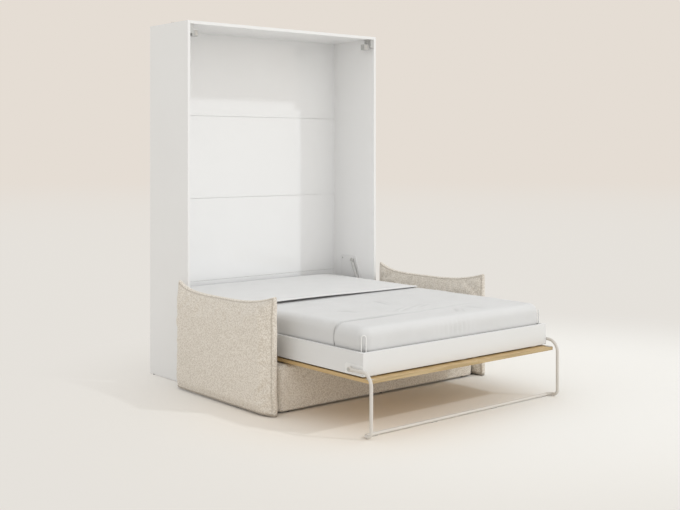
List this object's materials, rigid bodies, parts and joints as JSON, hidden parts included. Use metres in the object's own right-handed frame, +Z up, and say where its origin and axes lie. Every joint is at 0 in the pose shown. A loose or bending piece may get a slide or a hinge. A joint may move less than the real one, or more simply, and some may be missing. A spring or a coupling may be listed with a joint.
{
  "type": "wall bed",
  "caption": "Fold-down wall bed in a tall open cabinet, with a low upholstered sofa base and soft pillow arms under it, bedding on the mattress and a self-levelling tube leg.",
  "frame": {"origin": "on the floor, at the middle of the whole footprint with the bed down", "axes": "+Z up, -Y out of the wall towards the foot of the bed, +X to the right seen from the foot"},
  "size_m": [1.752, 2.071, 2.242],
  "materials": {
    "white_laminate": "satin",
    "zinc_steel": "satin",
    "white_steel": "satin",
    "grey_beige_steel": "satin",
    "dark_plastic": "matte",
    "pale_plastic": "matte",
    "oak_veneer": "satin",
    "slat_wood": "satin",
    "sofa_board": "matte",
    "boucle": "matte",
    "mattress_cloth": "matte",
    "duvet_cloth": "matte"
  },
  "bodies": {
    "cabinet": {"side_panel_left": "white_laminate", "side_panel_right": "white_laminate", "top_panel": "white_laminate", "back_board_1": "white_laminate", "back_board_2": "white_laminate", "back_board_3": "white_laminate", "back_board_4": "white_laminate", "floor_rail": "white_laminate", "cam_locks": "zinc_steel", "cabinet_glides": "dark_plastic", "wall_brackets": "zinc_steel", "mechanism_plate_left": "white_steel", "mechanism_plate_right": "white_steel", "mechanism_screws": "zinc_steel", "hinge_pins": "zinc_steel", "strut_studs": "zinc_steel", "catches": "white_steel", "catch_magnets": "dark_plastic", "sofa_end_boards": "sofa_board", "sofa_long_boards": "sofa_board", "seat_panel": "sofa_board", "seat_cover": "boucle", "sofa_glides": "dark_plastic", "sofa_ties": "zinc_steel", "arm_strips": "zinc_steel", "arm_boards": "sofa_board", "arm_left": "boucle", "arm_right": "boucle"},
    "bed": {"rail_left": "white_laminate", "rail_right": "white_laminate", "footboard": "white_laminate", "head_rail": "white_laminate", "oak_panel_left": "oak_veneer", "oak_panel_right": "oak_veneer", "side_tubes": "grey_beige_steel", "cross_tubes": "grey_beige_steel", "panel_spacers": "grey_beige_steel", "panel_screws": "zinc_steel", "slats": "slat_wood", "slat_holders": "dark_plastic", "bed_bracket_left": "zinc_steel", "bed_bracket_right": "zinc_steel", "bed_bracket_bolts": "zinc_steel", "hinge_bushes": "pale_plastic", "catch_strikes": "zinc_steel", "leg_plates": "grey_beige_steel", "leg_pins": "zinc_steel", "mattress_hoops": "grey_beige_steel", "mattress": "mattress_cloth", "duvet": "duvet_cloth", "turned_back_cover": "duvet_cloth"},
    "leg": {"leg_side_left": "grey_beige_steel", "leg_side_right": "grey_beige_steel", "leg_floor_bar": "grey_beige_steel", "leg_pads": "dark_plastic"},
    "left_cylinder": {"strut_cylinder_left": "white_steel"},
    "right_cylinder": {"strut_cylinder_right": "white_steel"},
    "left_rod": {"strut_rod_left": "zinc_steel"},
    "right_rod": {"strut_rod_right": "zinc_steel"}
  },
  "joints": [
    {"name": "bed_fold", "type": "hinge", "parent": "cabinet", "child": "bed", "pos_m": [0, 0.7295, 0.412], "axis": [-1, 0, 0], "range_deg": [0, 90]},
    {"name": "leg_swing", "type": "hinge", "parent": "bed", "child": "leg", "pos_m": [0, -0.8645, 0.323], "axis": [1, 0, 0], "range_deg": [0, 90.1]},
    {"name": "left_strut_swing", "type": "hinge", "parent": "cabinet", "child": "left_cylinder", "pos_m": [-0.722, 0.8015, 0.64], "axis": [-1, 0, 0], "range_deg": [0, 2]},
    {"name": "left_strut_slide", "type": "slide", "parent": "left_cylinder", "child": "left_rod", "axis": [0, 0.4251, 0.9052], "range_m": [0, 0.068]},
    {"name": "right_strut_swing", "type": "hinge", "parent": "cabinet", "child": "right_cylinder", "pos_m": [0.722, 0.8015, 0.64], "axis": [-1, 0, 0], "range_deg": [0, 2]},
    {"name": "right_strut_slide", "type": "slide", "parent": "right_cylinder", "child": "right_rod", "axis": [0, 0.4251, 0.9052], "range_m": [0, 0.068]}
  ],
  "couplings": [
    {"joint": "leg_swing", "follows": "bed_fold", "ratio": 1},
    {"joint": "left_strut_swing", "follows": "bed_fold", "ratio": 0.01288},
    {"joint": "left_strut_slide", "follows": "bed_fold", "m_per_rad": 0.04304},
    {"joint": "right_strut_swing", "follows": "bed_fold", "ratio": 0.01288},
    {"joint": "right_strut_slide", "follows": "bed_fold", "m_per_rad": 0.04304}
  ]
}
